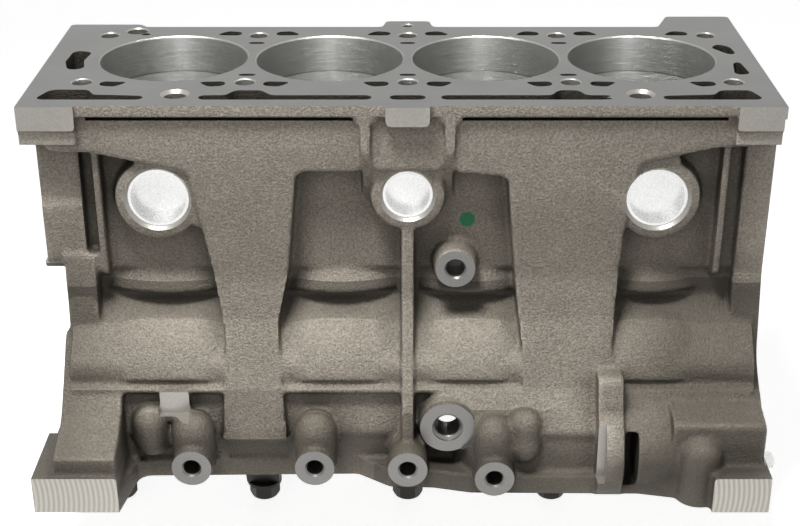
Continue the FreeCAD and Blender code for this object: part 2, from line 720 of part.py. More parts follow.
def rail_thread_places():
    """The pan's threaded holes along both rails: (x, y)."""
    places = []
    for x in mains:
        for way in (-1, 1):
            place = x + way * bore_pitch / 4
            if x_timing + 15 < place < x_gearbox - 10:
                places += [(place, -skirt_near + rail_thread_inset), (place, skirt_far - rail_thread_inset)]
    return places


def rail_bosses():
    """The bosses inside the skirt that carry the pan's threads."""
    low = -rail_drop
    return [rod(rail_boss_radius, (x, y, low), (x, y, low + 22)) for x, y in rail_thread_places()]


def cylinder_bores():
    tools = []
    for x in bores:
        radius = bore_diameter / 2
        profile = [(0, 1), (radius + bore_chamfer, 1), (radius + bore_chamfer, 0), (radius, -bore_chamfer),
                   (radius, -bore_length - 2), (0, -bore_length - 2)]
        tools.append(turned(profile, (x, 0, deck_height), (0, 0, 1)))
    return tools


def crank_line():
    """The bearing housings' bore, the cap seats with their side registers, and the cap bolt holes."""
    reach = timing_overhang + gearbox_overhang
    tools = [rod(bearing_housing_diameter / 2, (x_timing - reach, 0, 0), (x_gearbox + reach, 0, 0))]
    half = bulkhead_thickness / 2
    for x in mains:
        tools.append(box((x - half - 0.5, x + half + 0.5), (-cap_half_span, cap_half_span),
                         (-rail_drop - 1, 0)))
    tools.append(box((x_timing - 1, mains[0]), (-cap_half_span, cap_half_span), (-rail_drop - 1, 0)))
    tools.append(box((mains[-1], x_gearbox + 1), (-cap_half_span, cap_half_span), (-rail_drop - 1, 0)))
    thread = cap_bolt_diameter / 2 + cap_bolt_clearance
    sleeve = sleeve_outer_diameter / 2 + press_clearance
    for x in mains:
        for y in (-cap_bolt_spacing / 2, cap_bolt_spacing / 2):
            tools.append(rod(thread, (x, y, -1), (x, y, cap_bolt_thread_length + 4)))
            tools.append(rod(sleeve, (x, y, -1), (x, y, sleeve_length / 2 + press_clearance)))
    return tools


def end_recesses():
    """The seal recesses round the crank at both ends."""
    return [
        box((x_timing - 1, mains[0] - bulkhead_thickness / 2), (-cap_half_span, cap_half_span),
            (-rail_drop - 1, 8)),
        box((mains[-1] + bulkhead_thickness / 2, x_gearbox + 1), (-cap_half_span, cap_half_span),
            (-rail_drop - 1, 8))]


def plug_holes():
    tools = []
    for name, place, direction, diameter in plug_places():
        radius = diameter / 2
        seat = FreeCAD.Vector(*place).dot(FreeCAD.Vector(*direction))
        deep = seat - {(0, -1, 0): jacket_near, (0, 1, 0): jacket_far, (-1, 0, 0): -jacket_low_x,
                       (1, 0, 0): jacket_high_x}[direction] + 2
        profile = [(0, 1), (radius + 1.6, 1), (radius + 1.6, 0), (radius, -1.6), (radius, -deep), (0, -deep)]
        tools.append(turned(profile, place, direction))
    return tools


# Casting: deck machining

def head_bolt_holes():
    radius = head_bolt_hole_diameter / 2
    tools = []
    for x in mains:
        for y in (-head_bolt_spacing / 2, head_bolt_spacing / 2):
            tools.append(drilled(radius, (x, y, deck_height), (0, 0, -1), head_bolt_depth))
    return tools


def teardrop(x, y, lean, size):
    """A coolant hole of the deck: round at one end, drawn to a point at the other."""
    return [(x - 0.5 * size, y + 0.28 * size * lean, 0.22 * size),
            (x + 0.5 * size, y + 0.22 * size * lean, 0.08 * size),
            (x + 0.1 * size, y - 0.3 * size * lean, 0.25 * size),
            (x - 0.45 * size, y - 0.2 * size * lean, 0.2 * size)]


def deck_passages():
    """Coolant holes round the bores, opening into the jacket, and the long slots of the near edge."""
    outlines = []
    reach = head_bolt_spacing / 2
    for x in mains:
        for side in (-1, 1):
            for toward in (-1, 1):
                place = x + toward * 17.5
                if x_timing + 20 < place < x_gearbox - 15:
                    points = teardrop(0, 0, -side, 15.5)
                    outlines.append([(place + toward * u, side * (reach + 3.5) + v, r) for u, v, r in points])
    for x in mains[1:-1]:
        for y in (-31, 27.5):
            outlines.append([(x - 5, y - 1.8, 1.6), (x + 5, y - 1.8, 1.6), (x + 5, y + 1.8, 1.6),
                             (x - 5, y + 1.8, 1.6)])
    near, far = -72, -57
    slots = [
        [(mains[0] - 20, near, 3), (mains[0] + 37, near, 3), (mains[0] + 37, near + 6, 3),
         (mains[0] + 10, near + 8, 2),
         (mains[0] + 6, far + 1, 4), (mains[0] - 14, far + 1, 5)],
        [(mains[1] - 22, near, 3), (mains[1] + 69, near, 3), (mains[1] + 69, near + 7, 3),
         (mains[1] + 16, near + 7, 4), (mains[1] + 10, far, 4),
         (mains[1] - 4, far, 4), (mains[1] - 8, near + 7, 4), (mains[1] - 22, near + 7, 3)],
        [(mains[2] - 9.5, near, 3), (mains[2] + 9.5, near, 3), (mains[2] + 9.5, near + 7, 3),
         (mains[2] - 9.5, near + 7, 3)],
        [(mains[2] + 17.5, near, 3), (mains[3] + 20, near, 3), (mains[3] + 20, near + 7, 3),
         (mains[3] + 6, near + 7, 4),
         (mains[3] + 3, far, 4), (mains[3] - 8, far, 4), (mains[3] - 12, near + 7, 4),
         (mains[2] + 17.5, near + 7, 3)],
        [(mains[4] - 42, near, 3), (mains[4] + 11, near, 3), (mains[4] + 6, far, 3),
         (mains[4] - 10, far, 5), (mains[4] - 14, near + 8, 2),
         (mains[4] - 42, near + 6, 3)]]
    shapes = [plate_xy(points, below(deck_thickness + 3), deck_height + 1) for points in outlines]
    shapes += [plate_xy(points, below(24), deck_height + 1) for points in slots]
    ends = [
        [(mains[0] - 12, -23, 4), (mains[0] - 3, -20, 4), (mains[0] - 6, -6, 12), (mains[0] - 4, 10, 4),
         (mains[0] - 15, 13, 4),
         (mains[0] - 16, -8, 8)],
        [(mains[-1] + 3, -31, 3), (mains[-1] + 12, -30, 3), (mains[-1] + 10, -8, 3), (mains[-1] + 6, -10, 4)],
        [(mains[-1] + 3, 26, 4), (mains[-1] - 1, 18, 3), (mains[-1] + 7, 5, 3), (mains[-1] + 11, 7, 3),
         (mains[-1] + 10, 20, 8)]]
    return shapes + [plate_xy(points, below(deck_thickness + 3), deck_height + 1) for points in ends]


def deck_drillings():
    """The two oil holes of the near edge, the dowel hole and the small hole of the centre pad."""
    return [
        drilled(6.0, (mains[2] - oil_hole_offset, -oil_hole_near, deck_height), (0, 0, -1), 60, 1.8),
        drilled(6.0, (mains[2] + oil_hole_offset, -oil_hole_near, deck_height), (0, 0, -1), 60, 1.8),
        drilled(6.0, (mains[2] - 161, 51.5, deck_height), (0, 0, -1), 30),
        drilled(3.0, (mains[2], 63, deck_height), (0, 0, -1), 20)]


# Casting: threads and passages

def side_threads():
    radius = side_thread_diameter / 2
    tools = [drilled(radius, place, (0, 1, 0), side_boss_thread_depth, 1.0) for place in near_threads()]
    tools.append(drilled(knock_thread_diameter / 2, knock_place(), (0, 1, 0), 14, 1.0))
    x, z = mains[2] + return_boss_offset, return_boss_height
    tools.append(rod(return_hole_diameter / 2, (x, -return_boss_near - 1, z),
                     (x, -skirt_near + skirt_wall + 8, z)))
    tools.append(rod(return_hole_diameter / 2 + 2, (x, -return_boss_near - 1, z),
                     (x, -return_boss_near + 1.2, z)))
    for place in far_mount_places():
        tools.append(drilled(face_thread_diameter / 2, place, (0, -1, 0), 22))
    return tools


def starter_bore():
    """The opening of the starter's nose behind the flange, cut from outside and short of the crankcase."""
    z = starter_centre_height
    low = starter_flange_x + starter_flange_thickness
    return [rod(starter_bore_radius, (low, -starter_bore_near, z),
                (low + starter_bore_depth, -starter_bore_near, z))]


def filter_pad_holes():
    """The thread of the filter's stem and the oil feed beside it."""
    x, y, z = filter_pad_place()
    return [drilled(9.0, (x, y, z), (0, -1, 0), 14), drilled(5.0, (x + 24, y, z + 6), (0, -1, 0), 26)]


def oil_gallery():
    """The main gallery with its threaded ends, and a drilling down to each main bearing."""
    z = below(gallery_depth)
    tools = [rod(gallery_diameter / 2, (x_timing - 1, gallery_far, z), (x_gearbox + 1, gallery_far, z))]
    radius = gallery_plug_diameter / 2
    for end, way in ((x_end_timing, 1), (x_end_gearbox, -1)):
        tools.append(rod(radius, (end - way * 2, gallery_far, z),
                         (end + way * (gallery_plug_length + 2), gallery_far, z)))
    for x in mains:
        tools.append(rod(2.5, (x, gallery_far, z), (x, 12, 12)))
    return tools


def rail_threads():
    radius = rail_thread_diameter / 2
    return [drilled(radius, (x, y, -rail_drop), (0, 0, 1), 16) for x, y in rail_thread_places()]


def gearbox_thread_places():
    """The gearbox bolts on the flange face: (y, z)."""
    return [(y, below(depth)) for y in (-60, 86) for depth in (30, 100)] + [(-108, 24), (98, 24)]


def gearbox_dowel_places():
    return [(-104, dowel_height), (98, dowel_height)]


def timing_thread_places():
    upper = [(y, below(depth)) for y in (-64, 60) for depth in (20, 52.5, 85)]
    return upper + [(y, height) for y in (-82, 80) for height in (50, 20)]


def end_threads():
    radius = face_thread_diameter / 2
    tools = [drilled(radius, (x_end_gearbox, y, z), (-1, 0, 0), 15) for y, z in gearbox_thread_places()]
    tools += [drilled(dowel_diameter / 2 + press_clearance, (x_end_gearbox, y, z), (-1, 0, 0),
                      dowel_length / 2)
              for y, z in gearbox_dowel_places()]
    for y, z in timing_thread_places():
        face = x_end_timing if z > below(96) else x_end_timing + 9
        tools.append(drilled(3.4, (face, y, z), (1, 0, 0), 14))
    return tools


def drain_place():
    """The coolant drain plug's seat at the bottom of the jacket on the far side."""
    return (mains[3] + 30, wall_far + 7, below(jacket_depth - 12))


def drain_boss():
    return turned([(0, -12), (14, -12), (12, 0), (0, 0)], drain_place(), (0, 1, 0))


def drain_hole():
    return turned([(0, 1), (drain_plug_diameter / 2, 1), (drain_plug_diameter / 2, -20), (0, -20)],
                  drain_place(), (0, 1, 0))


def cylinder_block():
    """The whole casting: added forms, then the hollows, then the machining."""
    added = ledge_bands() + shoulder_bulges()
    added += [jacket_housing(), crankcase(), pan_rail(), skirt_flare(), timing_end(), gearbox_end()]
    added += [feet(), knock_boss(), return_boss(), drain_boss()]
    added += corner_pads() + raised_sheets() + centre_ribs() + end_ribs() + plug_bosses() + lower_bosses()
    added += [ground_boss()] + starter_housing() + far_side()
    casting = deck_slab().multiFuse(added)
    casting = casting.cut(water_jacket())
    bays = crank_bays()
    casting = casting.cut(bays[0].multiFuse(bays[1:]))
    casting = casting.multiFuse(liners_below_jacket() + rail_bosses())
    machining = cylinder_bores() + crank_line() + end_recesses() + plug_holes() + head_bolt_holes()
    machining += deck_passages() + deck_drillings() + side_threads() + starter_bore() + filter_pad_holes()
    machining += oil_gallery() + rail_threads() + end_threads() + [drain_hole()]
    return casting.cut(machining)


# Pieces fitted to the casting

def main_bearing_cap(x):
    """A bearing cap: flat seat on the split line, arched bearing housing, two bolt ears."""
    half = bulkhead_thickness / 2
    outline = [
        (-cap_half_span, 0, 0), (-cap_half_span, -12, 3), (-cap_half_span + 6, -cap_height + 8, 6),
        (-cap_half_span + 10, -cap_height, 3),
        (cap_half_span - 10, -cap_height, 3), (cap_half_span - 6, -cap_height + 8, 6),
        (cap_half_span, -12, 3), (cap_half_span, 0, 0)]
    cap = plate_yz(outline, x - half, x + half)
    tools = [rod(bearing_housing_diameter / 2, (x - half - 1, 0, 0), (x + half + 1, 0, 0))]
    sleeve = sleeve_outer_diameter / 2 + press_clearance
    for y in (-cap_bolt_spacing / 2, cap_bolt_spacing / 2):
        tools.append(rod(cap_bolt_diameter / 2 + 0.4, (x, y, -cap_height - 1), (x, y, 1)))
        tools.append(rod(sleeve, (x, y, -sleeve_length / 2 - press_clearance), (x, y, 1)))
    return cap.cut(tools)


def main_cap_bolt(x, y):
    """A flange bolt, head down, screwed up through the cap into the bulkhead."""
    seat = -cap_height
    bolt = turned([(0, seat), (cap_bolt_flange_diameter / 2, seat), (cap_bolt_flange_diameter / 2, seat - 2),
                   (cap_bolt_head_width / 2, seat - 3.5), (0, seat - 3.5)], (x, y, 0), (0, 0, 1))
    low, wide = seat - cap_bolt_head_height, cap_bolt_head_width / 2 * 1.3
    head = plate_xy(hexagon(x, y, cap_bolt_head_width), low, seat - 1)
    crown = turned([(0, seat), (wide, seat), (wide, low + 3), (wide - 2.6, low), (0, low)],
                   (x, y, 0), (0, 0, 1))
    shank = rod(cap_bolt_diameter / 2, (x, y, seat - 1), (x, y, cap_bolt_thread_length))
    return bolt.fuse(head.common(crown)).fuse(shank).removeSplitter()


def main_cap_sleeve(x, y):
    """A locating sleeve round the bolt, half in the cap and half in the bulkhead."""
    outer, inner, half = sleeve_outer_diameter / 2, sleeve_outer_diameter / 2 - sleeve_wall, sleeve_length / 2
    return turned([(inner, -half), (outer, -half), (outer, half), (inner, half)], (x, y, 0), (0, 0, 1))


def core_plug(place, direction, diameter):
    """A pressed steel cup, open outwards, its floor slightly domed."""
    outer = diameter / 2 - press_clearance
    inner = outer - plug_wall
    rim, floor = -2.2, -2.2 - plug_cup_depth
    profile = [(0, floor), (inner, floor), (outer, floor + plug_wall), (outer, rim), (inner, rim),
               (inner, floor + plug_wall),
               (0, floor + plug_wall)]
    return turned(profile, place, direction)


def gallery_plug(end, way):
    """A screw plug with a hexagon socket, flush in the gallery's end."""
    z = below(gallery_depth)
    radius = gallery_plug_diameter / 2 - press_clearance
    body = rod(radius, (end + way * 1, gallery_far, z),
               (end + way * (1 + gallery_plug_length), gallery_far, z))
    socket = plate_yz(hexagon(gallery_far, z, gallery_plug_socket), end, end + way * 7)
    return body.cut(socket)


def coolant_drain_plug():
    """A hexagon head plug on its sealing washer."""
    x, y, z = drain_place()
    head = plate_xz(hexagon(x, z, drain_head_width), y + 2.5, y + 10)
    washer = turned([(0, 0), (11, 0), (11, 2.5), (0, 2.5)], (x, y, z), (0, 1, 0))
    thread = rod(drain_plug_diameter / 2 - press_clearance, (x, y - 12, z), (x, y + 1, z))
    return head.fuse(washer).fuse(thread)


def gearbox_dowel(y, z):
    """A hollow dowel, half in the gearbox face."""
    outer, inner, half = dowel_diameter / 2, dowel_diameter / 2 - dowel_wall, dowel_length / 2
    return turned([(inner, -half), (outer, -half), (outer, half - 1), (outer - 1, half), (inner, half)],
                  (x_end_gearbox, y, z), (1, 0, 0))


def export(name, shapes):
    """Writes one sub-part, as one solid or as several like ones."""
    shape = shapes[0]
    if len(shapes) > 1:
        shape = Part.makeCompound(shapes)
    shape.exportStep(f"parts/{name}.step")


os.makedirs("parts", exist_ok=True)
bolt_places = [(x, y) for x in mains for y in (-cap_bolt_spacing / 2, cap_bolt_spacing / 2)]
export("cylinder_block", [cylinder_block()])
for number, x in enumerate(mains, 1):
    export(f"main_bearing_cap_{number}", [main_bearing_cap(x)])
export("main_cap_bolts", [main_cap_bolt(x, y) for x, y in bolt_places])
export("main_cap_sleeves", [main_cap_sleeve(x, y) for x, y in bolt_places])
for name, place, direction, diameter in plug_places():
    export(name, [core_plug(place, direction, diameter)])
export("oil_gallery_plug_timing_end", [gallery_plug(x_end_timing, 1)])
export("oil_gallery_plug_gearbox_end", [gallery_plug(x_end_gearbox, -1)])
export("coolant_drain_plug", [coolant_drain_plug()])
export("gearbox_dowels", [gearbox_dowel(y, z) for y, z in gearbox_dowel_places()])
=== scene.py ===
import math
import bmesh
import bpy
from mathutils import Matrix, Vector


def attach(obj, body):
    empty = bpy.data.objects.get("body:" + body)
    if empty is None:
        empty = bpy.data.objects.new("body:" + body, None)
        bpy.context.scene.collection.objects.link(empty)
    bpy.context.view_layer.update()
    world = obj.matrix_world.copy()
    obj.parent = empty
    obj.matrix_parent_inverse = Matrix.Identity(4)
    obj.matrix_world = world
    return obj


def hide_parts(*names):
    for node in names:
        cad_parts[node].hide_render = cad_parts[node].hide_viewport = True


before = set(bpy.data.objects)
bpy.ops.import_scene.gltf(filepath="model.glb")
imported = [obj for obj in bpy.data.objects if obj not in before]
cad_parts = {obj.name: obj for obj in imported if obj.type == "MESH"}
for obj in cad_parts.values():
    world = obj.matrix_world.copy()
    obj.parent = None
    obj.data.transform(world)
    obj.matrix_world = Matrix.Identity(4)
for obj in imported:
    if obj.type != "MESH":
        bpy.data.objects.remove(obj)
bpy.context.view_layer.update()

mm = 0.001


# The studio: a plain pale floor and surround, two soft boxes, and the camera, which stands well above the near
# side and looks down on the deck. Floor and surround show pale to the camera and in reflections, but give the
# block only a little light of their own.
camera_back, camera_height, looking_down = 0.8214, 0.4713, 25.4
camera = bpy.data.objects.new("studio_camera", bpy.data.cameras.new("studio_camera"))
camera.data.lens = 67.95
camera.data.sensor_width = 36
camera.data.shift_x = -0.009625
camera.data.clip_start = 0.01
camera.location = (0, -camera_back, camera_height)
camera.rotation_euler = (math.radians(90 - looking_down), 0, 0)
bpy.context.scene.collection.objects.link(camera)
bpy.context.scene.camera = camera
bpy.context.scene.view_settings.view_transform = "Standard"


class Socket:
    """Shader maths on an output socket, written as arithmetic and comparisons."""

    def __init__(self, tree, socket):
        self.tree, self.socket = tree, socket

    def maths(self, operation, *others):
        """A Math node that takes this socket first."""
        return node(self.tree, "ShaderNodeMath", {"operation": operation}, (self, *others))

    def __add__(self, other):
        return self.maths("ADD", other)

    def __sub__(self, other):
        return self.maths("SUBTRACT", other)

    def __rsub__(self, other):
        return node(self.tree, "ShaderNodeMath", {"operation": "SUBTRACT"}, (other, self))

    def __mul__(self, other):
        return self.maths("MULTIPLY", other)

    def __gt__(self, other):
        return self.maths("GREATER_THAN", other)

    def __lt__(self, other):
        return self.maths("LESS_THAN", other)

    def __abs__(self):
        return self.maths("ABSOLUTE")

    __radd__, __rmul__ = __add__, __mul__


def node(tree, kind, settings=None, values=(), output=0):
    """One shader node: its settings first, then the values or links of its sockets, by place or by name."""
    made = tree.nodes.new(kind)
    for name, value in (settings or {}).items():
        if name == "stops":
            ramp = made.color_ramp
            while len(ramp.elements) < len(value):
                ramp.elements.new(0.5)
            for element, (place, colour) in zip(ramp.elements, value):
                element.position = place
                element.color = (*colour, 1)
        else:
            setattr(made, name, value)
    pairs = values.items() if isinstance(values, dict) else enumerate(values)
    for key, value in pairs:
        if isinstance(value, Socket):
            tree.links.new(value.socket, made.inputs[key])
        else:
            made.inputs[key].default_value = value
    return Socket(tree, made.outputs[output])


def new_material(name, **constants):
    """A material with a Principled shader, its constant values set on its own sockets."""
    material = bpy.data.materials.new(name)
    material.use_nodes = True
    shader = material.node_tree.nodes["Principled BSDF"]
    for key, value in constants.items():
        shader.inputs[key.replace("_", " ")].default_value = value
    return material, material.node_tree, shader


def feed(shader, name, socket):
    """Links what varies over a surface to one input of its shader."""
    socket.tree.links.new(socket.socket, shader.inputs[name])


def seen_ray(tree):
    """One where the camera, a reflection or a clear material looks, and nought where light is gathered."""
    direct, glossy, clear = [node(tree, "ShaderNodeLightPath", output=f"Is {kind} Ray")
                             for kind in ("Camera", "Glossy", "Transmission")]
    return direct.maths("MAXIMUM", glossy).maths("MAXIMUM", clear)


floor_material, tree, shader = new_material(
    "pale_floor", Base_Color=(0.80, 0.80, 0.80, 1), Roughness=0.7, Emission_Color=(1, 1, 1, 1),
    Emission_Strength=0.87)
dim_floor = node(tree, "ShaderNodeBsdfDiffuse", {}, {"Color": (0.09, 0.09, 0.095, 1)}, output="BSDF")
pale_floor = Socket(tree, shader.outputs[0])
floor_finish = node(tree, "ShaderNodeMixShader", {}, (seen_ray(tree), dim_floor, pale_floor))
feed(tree.nodes["Material Output"], "Surface", floor_finish)

floor_half, floor_height = 6, -58 * mm
bm = bmesh.new()
bmesh.ops.create_grid(bm, x_segments=1, y_segments=1, size=floor_half)
bmesh.ops.translate(bm, verts=bm.verts, vec=(0, 0, floor_height))
floor = bpy.data.objects.new("studio_floor", bpy.data.meshes.new("studio_floor"))
bm.to_mesh(floor.data)
bm.free()
floor.data.materials.append(floor_material)
bpy.context.scene.collection.objects.link(floor)

lit, shown = 0.055, 0.945
world = bpy.data.worlds.new("studio_world")
world.use_nodes = True
bpy.context.scene.world = world
background = world.node_tree.nodes["Background"]
background.inputs["Color"].default_value = (1, 1, 1, 1)
feed(background, "Strength", seen_ray(world.node_tree) * shown + lit)


def lamp(name, place, aim, size, watts, spread=180):
    """A soft box at a place, turned to its aim, its light kept within spread degrees."""
    light = bpy.data.lights.new(name, "AREA")
    light.shape = "RECTANGLE"
    light.size, light.size_y = size
    light.energy, light.spread = watts, math.radians(spread)
    holder = bpy.data.objects.new(name, light)
    holder.location = place
    holder.rotation_euler = (Vector(aim) - Vector(place)).to_track_quat("-Z", "Y").to_euler()
    bpy.context.scene.collection.objects.link(holder)


lamp("overhead_softbox", (-0.19, -0.35, 1.10), (-0.05, -0.09, 0.08), (0.26, 0.22), 2.4, 75)
lamp("front_softbox", (-0.5, -1.5, 0.65), (0, 0, 0.1), (0.8, 0.6), 1.1)


# The cylinder block: one sand casting in grey iron. Its forms are softened as a mould leaves them, then its
# deck, faces, bores and holes are cut crisp and bright, as the machine shop does after casting. Its sizes are in
# millimetres: heights over the crank line, and how far each machined face stands out from the middle.
bore_pitch, bore_radius = 88, 41.35
mains = [bore_pitch * (i - 2) for i in range(5)]
bores = [bore_pitch * (i - 1.5) for i in range(4)]
deck, rail = 210, -4
timing_end, timing_face, gearbox_face, gearbox_end, starter_plate = -203, -197, 195.5, 196.5, 108
feet, corner_pads, centre_pad = 137, 84, 85
side_bosses, last_side_boss, return_boss, knock_boss, ground_patch = 122, 125, 108, 80, 102
mount_bosses, filter_pad, drain_boss = 104, 100, 65.5
near_seats, far_seats, plug_offset, plug_height, centre_plug_height = 76, 63.5, 134, 155, 157
gallery_far, gallery_height, tunnel_radius, bulkhead_half = 74, 82, 29.25, 9.7


def coordinates(place):
    """The three coordinates of a point of the piece."""
    return [node(place.tree, "ShaderNodeSeparateXYZ", {}, {"Vector": place}, output=axis) for axis in "XYZ"]


def noise(place, scale, detail, roughness=0.5):
    """Cloudy noise, from 0 to 1: a high scale is fine grain, a low one broad clouds."""
    return node(place.tree, "ShaderNodeTexNoise", {}, {"Vector": place, "Scale": scale, "Detail": detail,
                                                       "Roughness": roughness})


def graded(value, low, high, start=0.0, end=1.0):
    """Goes from start to end as value goes from low to high, and stays there beyond them."""
    return node(value.tree, "ShaderNodeMapRange", {}, {"Value": value, "From Min": low, "From Max": high,
                                                       "To Min": start, "To Max": end})


def coloured(value, *stops):
    """The colours of a ramp, each with its place on it, picked by value."""
    return node(value.tree, "ShaderNodeValToRGB", {"stops": stops}, {"Fac": value})


def relief(height, strength, depth):
    """The fine relief of a surface, too small to model."""
    return node(height.tree, "ShaderNodeBump", {}, {"Strength": strength, "Distance": depth, "Height": height})


def cast_iron(name):
    """Sand cast skin: sandy grain, painted shade in corners, creases and hollows, edges rubbed paler, and a dab
    of paint.
    """
    material, tree, shader = new_material(name, Metallic=0.35, Specular_IOR_Level=0.35)
    place = node(tree, "ShaderNodeTexCoord", output="Object")
    x, y, z = coordinates(place)
    sand = noise(place, 620.0, 4.0, 0.75)
    grit = node(tree, "ShaderNodeTexVoronoi", {}, {"Vector": place, "Scale": 950.0})
    cloud = noise(place, 26.0, 6.0, 0.62)
    # Pointiness: the edges are rubbed paler as wear, and the creases are painted darker as shade.
    bend = node(tree, "ShaderNodeNewGeometry", output="Pointiness")
    edge_wear_and_crease_shade = graded(bend, 0.515, 0.57)
    # Painted shade: ambient occlusion darkens the colour in corners, creases and under overhangs.
    corner_occlusion = node(tree, "ShaderNodeAmbientOcclusion", {"samples": 8, "only_local": True},
                    {"Distance": 16 * mm}, output="AO")
    painted_corner_shade = graded(corner_occlusion, 0.30, 0.97)

    # Painted shade darkens the colour in the jacket and the deck's slots, low on the skirt, on the crankcase
    # towards both ends, on the pillar of each side boss and under the shoulder ledges. Painted light pales it
    # towards the deck.
    between_ends = (x > -195 * mm) * (x < 193 * mm)
    jacket = (y > -63.2 * mm) * (y < 55.7 * mm) * (z > 112 * mm) * between_ends
    slots = (y > -72.1 * mm) * (y < -56 * mm) * (z > 186 * mm) * between_ends
    painted_hollow_shade = jacket.maths("MAXIMUM", slots)
    painted_low_shade = graded(z, 16 * mm, 30 * mm, 0.50)
    crankcase = graded(z, 95 * mm, 125 * mm, 1.0, 0.12)
    ends = graded(abs(x + 20 * mm), 125 * mm, 165 * mm) * crankcase
    painted_top_light = graded(z, 145 * mm, 190 * mm, 0.85, 1.07)
    painted_pillar_shade = (y < -105.5 * mm) * graded(abs(x + 40 * mm), 95 * mm, 130 * mm, 1.0, 0.0)
    painted_shoulder_shadow = graded(z, 72 * mm, 98 * mm, 0.0, 0.62) * (z < 103 * mm) * (y > -76.5 * mm)
    shade = (1 - ends * 0.48) * painted_top_light * (1 - painted_pillar_shade * 0.50) * (1 - painted_hollow_shade * 0.9) * (1 - painted_shoulder_shadow)

    speck = graded(sand * 0.7 + grit * 0.3, 0.30, 0.62)
    # The grain carries the paler worn edges and the painted shade in the creases.
    grain = speck * 0.46 + cloud * 0.30 + edge_wear_and_crease_shade * 0.36 + 0.17
    # The painted shade and painted light are multiplied into the colour here.
    tone = coloured(grain * painted_corner_shade * painted_low_shade * shade,
                    (0.0, (0.050, 0.045, 0.036)), (0.30, (0.175, 0.155, 0.125)),
                    (0.62, (0.350, 0.313, 0.262)), (1.0, (0.57, 0.525, 0.455)))
    dab_centre, dab_radius, green = (32.5 * mm, -66.5 * mm, 139 * mm), 4.8 * mm, (0.015, 0.21, 0.085, 1)
    away = node(tree, "ShaderNodeVectorMath", {"operation": "DISTANCE"}, (place, dab_centre), output="Value")
    dab = graded(away, 0.8 * dab_radius, dab_radius, 1.0, 0.0)
    # A Mix node has its two colours at inputs 6 and 7 and their mixture at output 2.
    painted = node(tree, "ShaderNodeMix", {"data_type": "RGBA"}, {0: dab * 0.92, 6: tone, 7: green}, output=2)
    feed(shader, "Base Color", painted)
    feed(shader, "Roughness", sand * 0.30 + 0.40 - edge_wear_and_crease_shade * 0.10)
    feed(shader, "Normal", relief(sand + grit * 0.4, 0.75, 0.9 * mm))
    return material


def machined_iron(name, colour, roughness, scale, metallic):
    """Cut metal: fine marks of the tool and a faint cloudiness."""
    material, tree, shader = new_material(name, Metallic=metallic)
    place = node(tree, "ShaderNodeTexCoord", output="Object")
    fine = noise(place, scale, 3.0)
    cloud = noise(place, 30.0, 4.0)
    dull = tuple(0.72 * value for value in colour)
    feed(shader, "Base Color", coloured(fine * 0.5 + cloud * 0.5, (0.3, dull), (0.7, colour)))
    feed(shader, "Roughness", fine * 0.2 + (roughness - 0.1))
    feed(shader, "Normal", relief(fine, 0.25, 0.2 * mm))
    return material


def scored_iron(name):
    """The locating feet's faces, scored by a wide face cutter in slightly curved upright lines."""
    material, tree, shader = new_material(name, Metallic=0.7)
    place = node(tree, "ShaderNodeTexCoord", output="Object")
    x, _, z = coordinates(place)
    middle_height, bow, radians_a_metre = 6 * mm, 9.0, 2300.0
    arc = (z - middle_height) * (z - middle_height) * bow + x
    score = (arc * radians_a_metre).maths("SINE")
    fine = noise(place, 900.0, 3.0)
    feed(shader, "Base Color", coloured(score * 0.25 + 0.35 + fine * 0.3,
                                        (0.1, (0.36, 0.34, 0.30)), (0.8, (0.58, 0.56, 0.51))))
    feed(shader, "Roughness", fine * 0.2 + 0.38)
    feed(shader, "Normal", relief(score, 0.5, 0.4 * mm))
    return material


def honed_iron(name):
    """The bore walls: honed in fine rings, with the line where the top piston ring will turn back."""
    material, tree, shader = new_material(name, Metallic=0.8)
    place = node(tree, "ShaderNodeTexCoord", output="Object")
    x, _, z = coordinates(place)
    squeezed = node(tree, "ShaderNodeMapping", {}, {"Vector": place, "Scale": (60.0, 60.0, 5200.0)})
    hone = noise(squeezed, 1.0, 4.0, 0.7)
    # Painted highlight: a bright upright band down the middle of each bore, where a honed wall catches the light.
    across = (x * (1 / (bore_pitch * mm)) + 2.0).maths("FRACT")
    painted_highlight_streak = graded(abs(across - 0.48), 0.02, 0.34, 1.0, 0.0)
    ring_height = 188.5 * mm
    line = graded(abs(z - ring_height), 0.0, 0.7 * mm, 1.0, 0.0)
    brightness = hone * 0.24 + 0.46 + painted_highlight_streak * painted_highlight_streak * 0.55 - line * 0.4 - (z > ring_height) * 0.2
    feed(shader, "Base Color", coloured(brightness, (0.0, (0.10, 0.10, 0.09)), (0.5, (0.42, 0.42, 0.40)),
                                        (1.0, (0.97, 0.97, 0.95))))
    feed(shader, "Roughness", hone * 0.2 + 0.26)
    feed(shader, "Normal", relief(hone, 0.9, 0.3 * mm))
    return material


finishes = [
    cast_iron("cast_iron_skin"),
    machined_iron("milled_iron", (0.44, 0.42, 0.385), 0.40, 900.0, 0.75),
    honed_iron("honed_bore"),
    scored_iron("scored_iron"),
    machined_iron("ground_deck", (0.20, 0.20, 0.193), 0.32, 1200.0, 0.85),
    machined_iron("faced_boss", (0.23, 0.225, 0.215), 0.36, 900.0, 0.85)]
cast, milled, honed, scored, ground, faced = range(len(finishes))


